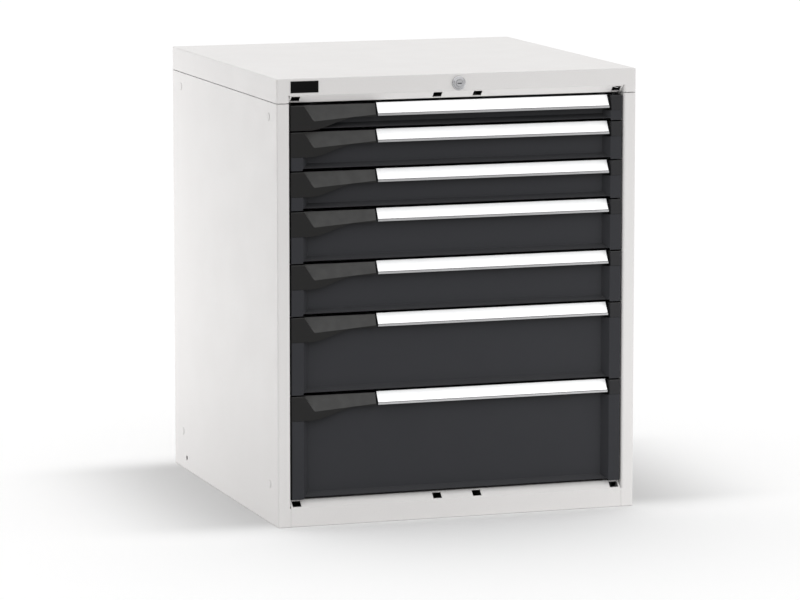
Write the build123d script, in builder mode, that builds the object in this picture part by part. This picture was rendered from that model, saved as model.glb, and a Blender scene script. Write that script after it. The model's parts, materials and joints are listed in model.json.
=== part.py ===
"""Industrial drawer cabinet: a light grey sheet-steel housing, seven drawers and one central lock.

Millimetres, +Z up. The origin is on the floor at the centre of the footprint.
The drawers open towards -Y. A depth is a distance behind the front plane of the housing.
A drawer's unit is its share of the front's height.
"""
import os
from math import cos, radians, sin

from build123d import *

os.makedirs("parts", exist_ok=True)

# Housing
cabinet_width = 717.0
cabinet_depth = 725.0
base_rail_height = 50.0
top_cover_height = 46.0
cover_gap = 4.0
sheet = 1.5
post_width = 25.0
post_return = 30.0
post_outer_radius = 3.0
post_inner_radius = 5.0
cover_edge_radius = 2.5
seam_gap = 1.0
bevel = 14.0
bevel_return = 12.0
bevel_end_gap = 0.8
slot_width = 17.0
slot_height = 13.5
slot_inner_x = 40.0
slot_post_offset = 13.0
side_hole_radius = 5.0
side_hole_height = 24.0
side_hole_from_back = 88.0
anchor_hole_radius = 5.5
anchor_spacing = 500.0

# Uprights and rivets
upright_width = 35.0
front_upright_depth = 53.5
rear_upright_from_back = 62.5
upright_top_gap = 4.0
upright_slot_pitch = 25.0
upright_slot_width = 10.0
upright_slot_height = 4.0
rivet_end_offset = 75.0
rivet_head_radius = 7.5
back_rivet_head_radius = 4.5
rivet_head_height = 0.8
rivet_shank_radius = 2.3
rivet_hole_clearance = 0.2
back_rivets_per_side = 4

# Drawer units from the top down
drawer_units = (50.0, 75.0, 75.0, 100.0, 100.0, 150.0, 200.0)
reveal = 1.5
side_gap = 2.5
face_setback = 1.0
front_sheet = 1.2
strip_width = 23.3
panel_recess = 12.5
panel_lift = 5.0
panel_drop = 8.5
lip_rise = 9.0
lip_reach = 8.5
front_fold = 26.0

# Handle profile, label and end caps
grip_length = 167.5
grip_height = 47.0
grip_flat = 36.0
grip_sweep = 94.0
grip_end_height = 24.5
facet_start = 46.5
facet_drop = 31.5
facet_end_drop = 22.3
facet_recess = 7.0
facet_lean = 0.67
cap_width = 22.0
cap_height = 28.5
handle_drop = 25.0
handle_gap = 0.8
handle_end_gap = 4.0
handle_lip_height = 4.0
handle_lip_wall = 1.4
handle_wall = 2.0
handle_leg = 2.3
handle_leg_drop = 24.0
handle_top_flat = 1.5
label_thickness = 0.5
label_margin = 1.0

# Trays and telescopic runners
tray_sheet = 1.2
tray_rear_room = 93.6
tray_drop = 16.0
runner_space = 26.3
runner_wall = 1.5
runner_half_height = 18.0
runner_lift = 24.0
runner_flange = 15.0
slide_gap = 0.7
slide_lift_gap = 0.4
post_clearance = 0.8
fixed_runner_gap = 4.5
fixed_runner_rear_gap = 34.5
middle_runner_gap = 2.5
middle_runner_overhang = 26.1

# Lock, drive rod and locking bar
lock_drop = 18.0
lock_flange_radius = 13.5
lock_flange_height = 3.0
lock_collar_radius = 10.5
lock_collar_height = 2.0
lock_body_radius = 9.5
lock_body_length = 28.0
lock_hole_clearance = 0.1
plug_radius = 6.5
plug_clearance = 0.05
plug_proud = 0.5
plug_tail = 2.0
key_slot_width = 2.2
key_slot_length = 8.5
key_slot_depth = 14.0
nut_across_flats = 25.0
nut_height = 4.0
rod_radius = 5.0
bracket_width = 30.0
bracket_drop = 26.0
bracket_foot = 20.0
bracket_wall = 2.0
bracket_to_crank = 8.0
crank_radius = 9.0
crank_angle = 45.0
crank_wall = 4.0
crank_half_width = 4.0
crank_pin_radius = 2.5
crank_pin_clearance = 0.5
crank_to_bar = 6.5
bar_half_width = 20.0
bar_wall = 1.5
bar_gap = 0.4
bar_foot = 20.0
bar_head = 1.0
channel_lip = 5.4
channel_head_gap = 16.0
tooth_height = 12.0
tooth_wall = 3.0
tooth_gap = 2.0
tooth_half_width = 8.0
tooth_plate = 2.0
catch_reach = 24.0
catch_level = 34.0
tab_spacing = 3.0
bar_to_catch = 7.5

# Badge
badge_width = 54.5
badge_height = 22.0
badge_thickness = 1.0
badge_post_offset = 2.0
badge_radius = 1.0

# Places worked out from the sizes above
half_width = cabinet_width / 2
front_y = -cabinet_depth / 2
back_y = cabinet_depth / 2
opening_half = half_width - post_width
front_half = opening_half - side_gap
drawer_stack = sum(drawer_units)
stack_top = base_rail_height + drawer_stack
cover_bottom = stack_top + cover_gap
cabinet_height = cover_bottom + top_cover_height
panel_top = cover_bottom - seam_gap
bevel_half = opening_half - bevel_end_gap
badge_z = cover_bottom + bevel + (top_cover_height - bevel) / 2
lock_z = cabinet_height - lock_drop
panel_depth = face_setback + panel_recess
grip_right = grip_length - front_half
cap_left = front_half - cap_width
handle_left = grip_right + handle_end_gap
handle_right = cap_left - handle_end_gap
tray_half = opening_half - runner_space
tray_depth = panel_depth + front_sheet + handle_leg
tray_length = cabinet_depth - tray_depth - tray_rear_room
fixed_runner_depth = post_return + fixed_runner_gap
fixed_runner_length = cabinet_depth - fixed_runner_depth - fixed_runner_rear_gap
middle_runner_length = tray_length - middle_runner_gap + middle_runner_overhang
middle_web = opening_half - post_clearance
fixed_web = middle_web + slide_gap + runner_wall
rail_edge = middle_web - runner_wall - slide_gap
middle_half_height = runner_half_height - runner_wall - slide_lift_gap
rail_half_height = middle_half_height - runner_wall - slide_lift_gap
cover_corner = opening_half + post_inner_radius
rivet_crown = 0.9 * rivet_head_height
back_rivet_step = panel_top / back_rivets_per_side
upright_slots = int((panel_top - 2 * upright_slot_pitch) / upright_slot_pitch)
crank_rise = crank_radius * sin(radians(crank_angle))


def depth(distance):
    """The Y coordinate at a distance behind the housing's front plane."""
    return front_y + distance


tray_back = depth(tray_depth) + tray_length
catch_end = tray_back + catch_reach
bar_front = catch_end + bar_to_catch
crank_back = bar_front - crank_to_bar
upright_places = (depth(front_upright_depth), back_y - rear_upright_from_back)
rivet_heights = (rivet_end_offset, cabinet_height - rivet_end_offset)


def drawer_bases():
    """The floor of each drawer unit, counted down from the top of the stack."""
    bases = []
    level = stack_top
    for unit in drawer_units:
        level -= unit
        bases.append(level)
    return bases


def save(builder, name):
    """Label a finished piece and write its file."""
    builder.part.label = name
    export_step(builder.part, f"parts/{name}.step")


def block(low, high, mode=Mode.ADD):
    """A box between two corners, in the active part."""
    centre = [(a + b) / 2 for a, b in zip(low, high)]
    size = [b - a for a, b in zip(low, high)]
    with Locations(tuple(centre)):
        Box(*size, mode=mode)


def across(y):
    """A plane at a given Y that looks along the depth, with X to the right and Z up."""
    return Plane.XZ.offset(-y)


def channel_section(side, web, edge, level, half_height, wall):
    """A C section in the active sketch: its web starts at x = web and its flanges end at x = edge."""
    inward = 1 if edge > web else -1
    with Locations((side * (web + inward * wall / 2), level)):
        Rectangle(wall, 2 * half_height)
    for rise in (-1, 1):
        with Locations((side * (web + edge) / 2, level + rise * (half_height - wall / 2))):
            Rectangle(abs(edge - web), wall)


def bevel_slots(rise, foot):
    """Four slots through a 45 degree bevel: its outer edge is at depth 0, its inner edge at z = foot."""
    centre_z = foot + rise * bevel / 2
    for x in (-1, 1):
        for place in (slot_inner_x, opening_half - slot_post_offset):
            centre = (x * place, depth(bevel / 2), centre_z)
            with BuildSketch(Plane(origin=centre, x_dir=(1, 0, 0), z_dir=(0, -1, -rise))) as slot:
                Rectangle(slot_width, slot_height)
            extrude(slot.sketch, amount=2 * sheet, both=True, mode=Mode.SUBTRACT)


# Side panel: an outer sheet folded into the front post and its return, and into a rear flange
with BuildPart() as left_side_panel:
    with BuildSketch():
        with BuildLine():
            FilletPolyline(
                (-opening_half, back_y),
                (-half_width, back_y),
                (-half_width, front_y),
                (-opening_half, front_y),
                (-opening_half, depth(post_return)),
                radius=[post_outer_radius, post_outer_radius, post_inner_radius],
            )
            offset(amount=sheet, side=Side.LEFT)
        make_face()
    extrude(amount=panel_top)
    # The post's inner edge is square where the base rail is welded to it
    block(
        (-opening_half - post_inner_radius, front_y, 0),
        (-opening_half, depth(post_inner_radius), base_rail_height - bevel),
    )
    with BuildSketch(Plane.YZ.offset(-half_width - sheet)):
        for y in upright_places:
            for z in rivet_heights:
                with Locations((y, z)):
                    Circle(rivet_shank_radius + rivet_hole_clearance)
        with Locations((back_y - side_hole_from_back, side_hole_height)):
            Circle(side_hole_radius)
    extrude(amount=3 * sheet, mode=Mode.SUBTRACT)
    with BuildSketch(across(back_y + sheet)):
        with Locations((-half_width + post_width / 2, panel_top / 2)):
            with GridLocations(0, back_rivet_step, 1, back_rivets_per_side):
                Circle(rivet_shank_radius + rivet_hole_clearance)
    extrude(amount=3 * sheet, mode=Mode.SUBTRACT)
save(left_side_panel, "left_side_panel")

with BuildPart() as right_side_panel:
    mirror(left_side_panel.part, about=Plane.YZ)
save(right_side_panel, "right_side_panel")

# Top cover: a lid with a wall all round, whose front wall bends inwards above the drawers
with BuildPart() as top_cover:
    block((-half_width, front_y, cover_bottom), (half_width, back_y, cabinet_height))
    fillet(top_cover.edges().filter_by(Axis.Z), radius=post_outer_radius)
    fillet(top_cover.edges().group_by(Axis.Z)[-1], radius=cover_edge_radius)
    offset(amount=-sheet, openings=top_cover.faces().sort_by(Axis.Z)[0])
    block(
        (-cover_corner, front_y - sheet, cover_bottom - sheet),
        (cover_corner, depth(2 * sheet), cover_bottom + bevel),
        mode=Mode.SUBTRACT,
    )
    # The wall's ends turn back beside the opening as the posts below do
    with BuildSketch(Plane.XY.offset(cover_bottom)):
        for side, inner in ((-1, Side.LEFT), (1, Side.RIGHT)):
            with BuildLine():
                FilletPolyline(
                    (side * (half_width - 2 * post_outer_radius), front_y),
                    (side * opening_half, front_y),
                    (side * opening_half, depth(post_return)),
                    radius=post_inner_radius,
                )
                offset(amount=sheet, side=inner)
            make_face()
    extrude(amount=bevel)
    with BuildSketch(Plane.YZ.offset(-bevel_half)):
        with BuildLine():
            Polyline(
                (front_y, cover_bottom + bevel + 2 * sheet),
                (front_y, cover_bottom + bevel),
                (depth(bevel), cover_bottom),
                (depth(bevel + bevel_return), cover_bottom),
            )
            offset(amount=sheet, side=Side.LEFT)
        make_face()
    extrude(amount=2 * bevel_half)
    bevel_slots(rise=1, foot=cover_bottom)
    with BuildSketch(across(front_y - sheet)):
        with Locations((0, lock_z)):
            Circle(lock_body_radius + lock_hole_clearance)
    extrude(amount=-3 * sheet, mode=Mode.SUBTRACT)
save(top_cover, "top_cover")

# Base pan: the floor sheet and the front rail, which bends inwards below the drawers
with BuildPart() as base_pan:
    block(
        (sheet - half_width, depth(post_return), 0),
        (half_width - sheet, back_y - 2 * sheet, sheet),
    )
    block((-opening_half, front_y, 0), (opening_half, depth(post_return), sheet))
    block((-opening_half, front_y, 0), (opening_half, depth(sheet), base_rail_height - bevel))
    with BuildSketch(Plane.YZ.offset(-bevel_half)):
        with BuildLine():
            Polyline(
                (front_y, base_rail_height - bevel - 2 * sheet),
                (front_y, base_rail_height - bevel),
                (depth(bevel), base_rail_height),
                (depth(bevel + bevel_return), base_rail_height),
            )
            offset(amount=sheet, side=Side.RIGHT)
        make_face()
    extrude(amount=2 * bevel_half)
    bevel_slots(rise=-1, foot=base_rail_height)
    with GridLocations(anchor_spacing, anchor_spacing, 2, 2):
        Hole(anchor_hole_radius)
save(base_pan, "base_pan")

# Back panel: a flat sheet inside the rear flanges, clear of their rounded corners
with BuildPart() as back_panel:
    block(
        (post_outer_radius - half_width, back_y - 2 * sheet, 0),
        (half_width - post_outer_radius, back_y - sheet, panel_top),
    )
    with BuildSketch(across(back_y)):
        for side in (-1, 1):
            with Locations((side * (half_width - post_width / 2), panel_top / 2)):
                with GridLocations(0, back_rivet_step, 1, back_rivets_per_side):
                    Circle(rivet_shank_radius + rivet_hole_clearance)
    extrude(amount=3 * sheet, mode=Mode.SUBTRACT)
save(back_panel, "back_panel")

# Uprights: four slotted channels riveted inside the side panels
with BuildPart() as uprights:
    for y in upright_places:
        with BuildSketch(Plane.XY.offset(sheet)):
            with BuildLine():
                Polyline(
                    (fixed_web, y - upright_width / 2),
                    (half_width - sheet, y - upright_width / 2),
                    (half_width - sheet, y + upright_width / 2),
                    (fixed_web, y + upright_width / 2),
                )
                offset(amount=sheet, side=Side.LEFT, kind=Kind.INTERSECTION)
            make_face()
        extrude(amount=panel_top - upright_top_gap - sheet)
        with BuildSketch(across(y + upright_width)):
            with Locations(((fixed_web + half_width) / 2, panel_top / 2)):
                with GridLocations(0, upright_slot_pitch, 1, upright_slots):
                    Rectangle(upright_slot_width, upright_slot_height)
        extrude(amount=2 * upright_width, mode=Mode.SUBTRACT)
        with BuildSketch(Plane.YZ.offset(half_width)):
            for z in rivet_heights:
                with Locations((y, z)):
                    Circle(rivet_shank_radius + rivet_hole_clearance)
        extrude(amount=-3 * sheet, mode=Mode.SUBTRACT)
    mirror(about=Plane.YZ)
save(uprights, "uprights")

# Rivets: low round heads outside, with shanks through the sheets that they join
with BuildPart() as side_rivets:
    for y in upright_places:
        for z in rivet_heights:
            with BuildSketch(Plane.YZ.offset(half_width)):
                with Locations((y, z)):
                    Circle(rivet_head_radius)
            extrude(amount=rivet_head_height)
            with BuildSketch(Plane.YZ.offset(half_width)):
                with Locations((y, z)):
                    Circle(rivet_shank_radius)
            extrude(amount=-2 * sheet)
    fillet(
        side_rivets.edges().filter_by(GeomType.CIRCLE).group_by(Axis.X)[-1],
        radius=rivet_crown,
    )
    mirror(about=Plane.YZ)
save(side_rivets, "side_rivets")

head_and_shank = ((back_rivet_head_radius, -rivet_head_height), (rivet_shank_radius, 2 * sheet))
with BuildPart() as back_rivets:
    for side in (-1, 1):
        for radius, length in head_and_shank:
            with BuildSketch(across(back_y)):
                with Locations((side * (half_width - post_width / 2), panel_top / 2)):
                    with GridLocations(0, back_rivet_step, 1, back_rivets_per_side):
                        Circle(radius)
            extrude(amount=length)
    fillet(
        back_rivets.edges().filter_by(GeomType.CIRCLE).group_by(Axis.Y)[-1],
        radius=rivet_crown,
    )
save(back_rivets, "back_rivets")

# Fixed runners: a channel on each side of every drawer, held by the uprights
with BuildPart() as fixed_runners:
    with BuildSketch(across(depth(fixed_runner_depth))):
        for base in drawer_bases():
            for side in (-1, 1):
                channel_section(
                    side,
                    fixed_web,
                    fixed_web - runner_flange,
                    base + runner_lift,
                    runner_half_height,
                    runner_wall,
                )
    extrude(amount=-fixed_runner_length)
save(fixed_runners, "fixed_runners")


def build_runners(name, base):
    """The middle members of one drawer's runners, which slide inside the fixed ones."""
    with BuildPart() as runners:
        with BuildSketch(across(depth(tray_depth + middle_runner_gap))):
            for side in (-1, 1):
                channel_section(
                    side,
                    middle_web,
                    fixed_web - runner_flange - slide_gap,
                    base + runner_lift,
                    middle_half_height,
                    runner_wall,
                )
        extrude(amount=-middle_runner_length)
    save(runners, name)


def build_tray(name, base, unit):
    """An open box with a slide rail welded to each side and a catch for the locking bar at the back."""
    floor = base + panel_lift + front_sheet
    with BuildPart() as tray:
        block(
            (-tray_half, depth(tray_depth), floor),
            (tray_half, tray_back, floor + unit - tray_drop),
        )
        offset(amount=-tray_sheet, openings=tray.faces().sort_by(Axis.Z)[-1])
        with BuildSketch(across(depth(tray_depth))):
            for side in (-1, 1):
                level = base + runner_lift
                channel_section(side, tray_half, rail_edge, level, rail_half_height, runner_wall)
        extrude(amount=-tray_length)
        with BuildSketch(Plane.YZ.offset(-tooth_half_width)):
            with BuildLine():
                Polyline(
                    (tray_back - tray_sheet, base + catch_level),
                    (catch_end - tooth_wall, base + catch_level),
                    (catch_end - tooth_wall, base + catch_level - tooth_height),
                    (catch_end, base + catch_level - tooth_height),
                    (catch_end, base + catch_level + tooth_plate),
                    (tray_back - tray_sheet, base + catch_level + tooth_plate),
                    close=True,
                )
            make_face()
        extrude(amount=2 * tooth_half_width)
    save(tray, name)


def build_front(name, base, unit):
    """A pressed front: a recessed panel between two end strips, a lip along its foot and a fold."""
    top = base + unit
    foot = base + panel_lift
    strip_inner = front_half - strip_width
    with BuildPart() as front:
        block(
            (-front_half, depth(panel_depth), foot),
            (front_half, depth(panel_depth + front_sheet), top - panel_drop),
        )
        block(
            (-tray_half, depth(panel_depth), foot),
            (tray_half, depth(panel_depth + front_fold), foot + front_sheet),
        )
        lip_left = handle_left
        for side, inner, covered in ((-1, Side.LEFT, grip_height), (1, Side.RIGHT, cap_height)):
            strip_height = unit - 2 * reveal - covered
            if strip_height > front_sheet:
                with BuildSketch(Plane.XY.offset(base + reveal)):
                    with BuildLine():
                        Polyline(
                            (side * front_half, depth(panel_depth + front_sheet)),
                            (side * front_half, depth(face_setback)),
                            (side * strip_inner, depth(face_setback)),
                            (side * (strip_inner - panel_recess), depth(panel_depth)),
                        )
                        offset(amount=front_sheet, side=inner)
                    make_face()
                extrude(amount=strip_height)
                # The bevel stops level with the lip's nose, and only the strip goes lower
                bevel_foot = strip_inner - panel_recess - front_sheet
                bevel_left, bevel_right = sorted((side * bevel_foot, side * strip_inner))
                block(
                    (bevel_left, depth(face_setback), base + reveal),
                    (bevel_right, depth(panel_depth + front_sheet), foot),
                    mode=Mode.SUBTRACT,
                )
                if side < 0:
                    lip_left = lip_reach / 2 - strip_inner
        lip_right = strip_inner - lip_reach / 2
        with BuildSketch(Plane.YZ.offset(lip_left)):
            with BuildLine():
                Polyline(
                    (depth(panel_depth), foot + lip_rise),
                    (depth(panel_depth - lip_reach), foot + front_sheet),
                    (depth(panel_depth - lip_reach), foot),
                    (depth(panel_depth), foot + lip_rise - front_sheet),
                    (depth(panel_depth + front_sheet), foot + lip_rise - front_sheet),
                    (depth(panel_depth + front_sheet), foot + lip_rise),
                    close=True,
                )
            make_face()
        extrude(amount=lip_right - lip_left)
    save(front, name)


# Handle section, as points of depth and of height below a drawer unit's top
slope_foot = Vector(face_setback + handle_lip_wall, handle_lip_height - handle_drop - handle_gap / 2)
slope_head = Vector(panel_depth + front_sheet + handle_leg - handle_top_flat, -handle_gap)
slope_along = (slope_head - slope_foot).normalized()
slope_inward = Vector(slope_along.Y, -slope_along.X)
inner_foot = slope_foot + slope_inward * handle_wall
leg_front = panel_depth + front_sheet
leg_back = leg_front + handle_leg
inner_head = inner_foot + slope_along * ((leg_front - inner_foot.X) / slope_along.X)


def section_points(points, top):
    """Depths and heights below a unit's top, as points on a plane that cuts from front to back."""
    return [(depth(point[0]), top + point[1]) for point in points]


def build_handle(name, top):
    """A pull profile: a sloping face for the label, a lip below it, and a leg behind the panel."""
    points = (
        (face_setback, -handle_drop),
        (face_setback, handle_lip_height - handle_drop),
        (slope_foot.X, handle_lip_height - handle_drop),
        (slope_foot.X, slope_foot.Y),
        (slope_head.X, slope_head.Y),
        (leg_back, slope_head.Y),
        (leg_back, -handle_leg_drop),
        (leg_front, -handle_leg_drop),
        (inner_head.X, inner_head.Y),
        (inner_foot.X, inner_foot.Y),
        (slope_foot.X, -handle_drop),
    )
    with BuildPart() as handle:
        with BuildSketch(Plane.YZ.offset(handle_left)):
            with BuildLine():
                Polyline(*section_points(points, top), close=True)
            make_face()
        extrude(amount=handle_right - handle_left)
    save(handle, name)


def build_label(name, top):
    """A paper strip that lies on the sloping face of the handle, behind its lip."""
    length = (slope_head - slope_foot).length
    lower = slope_foot + slope_along * label_margin
    upper = slope_foot + slope_along * (length - label_margin / 2)
    outward = slope_inward * -label_thickness
    corners = [lower, upper, upper + outward, lower + outward]
    with BuildPart() as label:
        with BuildSketch(Plane.YZ.offset(handle_left + label_margin / 2)):
            with BuildLine():
                Polyline(*section_points([(point.X, point.Y) for point in corners], top), close=True)
            make_face()
        extrude(amount=handle_right - handle_left - label_margin)
    save(label, name)


def build_end_caps(name, top):
    """The grip at the left end of the handle, with a sweeping lower edge, and the cap at the right."""
    head = top - reveal
    grip_left = -front_half
    facet_left = Vector(grip_left + facet_start, depth(face_setback), top - facet_drop)
    facet_right = Vector(grip_right, depth(face_setback), top - facet_end_drop)
    facet_top = Vector(grip_right, depth(face_setback + facet_recess), head)
    facet_length = (facet_right - facet_left).length
    facet_along = (facet_right - facet_left).normalized()
    facet_normal = facet_along.cross(facet_top - facet_left).normalized()
    facet_plane = Plane(origin=facet_left, x_dir=facet_along, z_dir=facet_normal)
    with BuildPart() as end_caps:
        with BuildSketch(across(depth(face_setback))):
            with BuildLine():
                start = (grip_left, head)
                foot = (grip_left, head - grip_height)
                sweep_start = (grip_left + grip_flat, head - grip_height)
                sweep_end = (grip_left + grip_flat + grip_sweep, head - grip_end_height)
                Polyline(start, foot, sweep_start)
                Spline(sweep_start, sweep_end, tangents=[(1, 0), (1, 0)])
                Polyline(sweep_end, (grip_right, head - grip_end_height), (grip_right, head), start)
            make_face()
        extrude(amount=-panel_recess)
        # A bar along the top hooks over the edge of the front panel
        block(
            (grip_left, depth(panel_depth), top - panel_drop),
            (grip_right, depth(leg_back), head),
        )
        with BuildSketch(facet_plane):
            with BuildLine():
                Polyline(
                    (0, 0),
                    (2 * facet_length, 0),
                    (2 * facet_length, grip_height),
                    (-facet_lean * grip_height, grip_height),
                    close=True,
                )
            make_face()
        extrude(amount=grip_height, mode=Mode.SUBTRACT)
        block(
            (cap_left, depth(face_setback), head - cap_height),
            (front_half, depth(panel_depth), head),
        )
        block(
            (cap_left, depth(panel_depth), top - panel_drop),
            (front_half, depth(leg_back), head),
        )
    save(end_caps, name)


for number, (base, unit) in enumerate(zip(drawer_bases(), drawer_units), start=1):
    build_tray(f"drawer_{number}_tray", base, unit)
    build_front(f"drawer_{number}_front", base, unit)
    build_handle(f"drawer_{number}_handle", base + unit)
    build_label(f"drawer_{number}_label", base + unit)
    build_end_caps(f"drawer_{number}_end_caps", base + unit)
    build_runners(f"drawer_{number}_runners", base)

# Lock cylinder: a chromed flange and collar outside, and a body through the cover's front wall
with BuildPart() as lock_cylinder:
    with BuildSketch(across(front_y)):
        with Locations((0, lock_z)):
            Circle(lock_flange_radius)
    extrude(amount=lock_flange_height)
    fillet(lock_cylinder.edges().group_by(Axis.Y)[0], radius=lock_flange_height / 2)
    with BuildSketch(across(front_y - lock_flange_height)):
        with Locations((0, lock_z)):
            Circle(lock_collar_radius)
    extrude(amount=lock_collar_height)
    chamfer(lock_cylinder.edges().group_by(Axis.Y)[0], length=lock_collar_height / 3)
    with BuildSketch(across(front_y)):
        with Locations((0, lock_z)):
            Circle(lock_body_radius)
    extrude(amount=-lock_body_length)
    with BuildSketch(across(front_y - lock_flange_height - lock_collar_height)):
        with Locations((0, lock_z)):
            Circle(plug_radius + plug_clearance)
    extrude(amount=-(lock_flange_height + lock_collar_height + lock_body_length), mode=Mode.SUBTRACT)
save(lock_cylinder, "lock_cylinder")

with BuildPart() as lock_nut:
    with BuildSketch(across(depth(sheet))):
        with Locations((0, lock_z)):
            RegularPolygon(nut_across_flats / 2, 6, major_radius=False)
            Circle(lock_body_radius + lock_hole_clearance, mode=Mode.SUBTRACT)
    extrude(amount=-nut_height)
save(lock_nut, "lock_nut")

plug_front = front_y - lock_flange_height - lock_collar_height - plug_proud
plug_back = depth(lock_body_length + plug_tail)
with BuildPart() as lock_plug:
    with BuildSketch(across(plug_front)):
        with Locations((0, lock_z)):
            Circle(plug_radius)
    extrude(amount=plug_front - plug_back)
    with BuildSketch(across(plug_front)):
        with Locations((0, lock_z)):
            Rectangle(key_slot_length, key_slot_width)
    extrude(amount=-key_slot_depth, mode=Mode.SUBTRACT)
save(lock_plug, "lock_plug")

# Drive rod: it turns with the plug and carries a crank whose pin lifts the locking bar
crank_pin = (-crank_radius * cos(radians(crank_angle)), lock_z - crank_rise)
with BuildPart() as lock_rod:
    with BuildSketch(across(plug_back)):
        with Locations((0, lock_z)):
            Circle(rod_radius)
    extrude(amount=plug_back - crank_back)
    with BuildSketch(across(crank_back - crank_wall)):
        with BuildLine():
            Line((0, lock_z), crank_pin)
        trace(line_width=2 * crank_half_width)
        with Locations((0, lock_z), crank_pin):
            Circle(crank_half_width)
    extrude(amount=-crank_wall)
    with BuildSketch(across(crank_back)):
        with Locations(crank_pin):
            Circle(crank_pin_radius)
    extrude(amount=-(crank_to_bar + 2 * bar_wall))
save(lock_rod, "lock_rod")

bracket_back = crank_back - bracket_to_crank
with BuildPart() as rod_bracket:
    block(
        (-bracket_width / 2, bracket_back - bracket_wall, cabinet_height - sheet - bracket_drop),
        (bracket_width / 2, bracket_back, cabinet_height - sheet),
    )
    block(
        (-bracket_width / 2, bracket_back - bracket_foot, cabinet_height - sheet - bracket_wall),
        (bracket_width / 2, bracket_back, cabinet_height - sheet),
    )
    with BuildSketch(across(bracket_back)):
        with Locations((0, lock_z)):
            Circle(rod_radius + plug_clearance)
    extrude(amount=2 * bracket_wall, mode=Mode.SUBTRACT)
save(rod_bracket, "rod_bracket")

# Lock channel: an upright channel on the back panel, whose lips guide the locking bar
channel_half = bar_half_width + bar_gap
with BuildPart() as lock_channel:
    with BuildSketch(Plane.XY.offset(sheet)):
        with BuildLine():
            Polyline(
                (channel_half - channel_lip, bar_front - bar_gap),
                (channel_half, bar_front - bar_gap),
                (channel_half, back_y - 2 * sheet - bar_wall),
                (-channel_half, back_y - 2 * sheet - bar_wall),
                (-channel_half, bar_front - bar_gap),
                (channel_lip - channel_half, bar_front - bar_gap),
            )
            offset(amount=bar_wall, side=Side.RIGHT, kind=Kind.INTERSECTION)
        make_face()
    extrude(amount=stack_top + channel_head_gap - sheet)
save(lock_channel, "lock_channel")

# Locking bar: a channel with a hooked tab behind every drawer, lifted by the crank's pin in its slot
bar_top = cabinet_height - sheet - 2 * crank_rise - bar_head
with BuildPart() as locking_bar:
    with BuildSketch(Plane.XY.offset(bar_foot)):
        with BuildLine():
            Polyline(
                (bar_half_width, back_y - 2 * sheet - bar_wall - bar_gap),
                (bar_half_width, bar_front),
                (-bar_half_width, bar_front),
                (-bar_half_width, back_y - 2 * sheet - bar_wall - bar_gap),
            )
            offset(amount=bar_wall, side=Side.RIGHT, kind=Kind.INTERSECTION)
        make_face()
    extrude(amount=bar_top - bar_foot)
    with BuildSketch(across(bar_front - bar_wall)):
        slot_half = crank_pin_radius + crank_pin_clearance
        with Locations((-(crank_radius + crank_rise) / 2, lock_z - crank_rise)):
            Rectangle(crank_radius - crank_rise + 2 * slot_half, 2 * slot_half)
    extrude(amount=-3 * bar_wall, mode=Mode.SUBTRACT)
    tab_front = catch_end - 2 * tooth_wall - tab_spacing
    for base in drawer_bases():
        tooth_top = base + catch_level - tooth_height - tooth_gap
        with BuildSketch(Plane.YZ.offset(-tooth_half_width)):
            with BuildLine():
                Polyline(
                    (tab_front, tooth_top),
                    (tab_front + tooth_wall, tooth_top),
                    (tab_front + tooth_wall, tooth_top - tooth_height),
                    (bar_front + bar_wall, tooth_top - tooth_height),
                    (bar_front + bar_wall, tooth_top - tooth_height - tooth_plate),
                    (tab_front, tooth_top - tooth_height - tooth_plate),
                    close=True,
                )
            make_face()
        extrude(amount=2 * tooth_half_width)
save(locking_bar, "locking_bar")

# Badge plate: a blank plate on the cover's front wall, beside the left post
with BuildPart() as badge_plate:
    with BuildSketch(across(front_y)):
        with Locations((-opening_half + badge_post_offset + badge_width / 2, badge_z)):
            RectangleRounded(badge_width, badge_height, badge_radius)
    extrude(amount=badge_thickness)
save(badge_plate, "badge_plate")
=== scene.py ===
# %% [markdown]
# # A drawer cabinet of sheet steel
# The real object is a workshop cabinet: a pale grey housing with seven dark drawers, and a pull with
# a paper label across every drawer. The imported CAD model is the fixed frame. It gives every size and
# place, and what is made here is fitted to it, so nothing has to be measured twice.

# %% Load the frame
import json
import math

import bpy
import bmesh
import numpy as np
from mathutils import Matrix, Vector


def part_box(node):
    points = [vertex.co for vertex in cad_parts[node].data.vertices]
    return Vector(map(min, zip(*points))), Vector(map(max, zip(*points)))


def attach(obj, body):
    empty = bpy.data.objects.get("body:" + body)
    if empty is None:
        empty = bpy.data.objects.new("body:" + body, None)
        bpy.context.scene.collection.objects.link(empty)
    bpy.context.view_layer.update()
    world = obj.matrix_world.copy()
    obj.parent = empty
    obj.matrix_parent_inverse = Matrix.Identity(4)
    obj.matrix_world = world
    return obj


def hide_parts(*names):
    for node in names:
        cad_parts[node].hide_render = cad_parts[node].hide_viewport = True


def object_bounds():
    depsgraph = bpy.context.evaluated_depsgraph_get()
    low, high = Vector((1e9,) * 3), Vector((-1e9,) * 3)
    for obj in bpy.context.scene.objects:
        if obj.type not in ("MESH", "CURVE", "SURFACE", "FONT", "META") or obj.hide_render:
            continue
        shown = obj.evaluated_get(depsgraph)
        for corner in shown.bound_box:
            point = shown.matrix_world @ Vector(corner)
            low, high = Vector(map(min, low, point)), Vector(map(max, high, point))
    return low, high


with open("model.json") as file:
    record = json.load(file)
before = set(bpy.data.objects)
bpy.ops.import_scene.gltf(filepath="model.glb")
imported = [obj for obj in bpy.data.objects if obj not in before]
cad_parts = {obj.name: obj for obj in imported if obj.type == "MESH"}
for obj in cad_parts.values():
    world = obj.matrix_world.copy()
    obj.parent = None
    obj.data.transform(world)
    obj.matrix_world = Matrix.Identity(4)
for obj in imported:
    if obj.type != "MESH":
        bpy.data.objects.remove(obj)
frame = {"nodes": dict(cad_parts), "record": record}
cad_low, cad_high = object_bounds()
print("CAD box", [round(v, 4) for v in cad_low], [round(v, 4) for v in cad_high])

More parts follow.
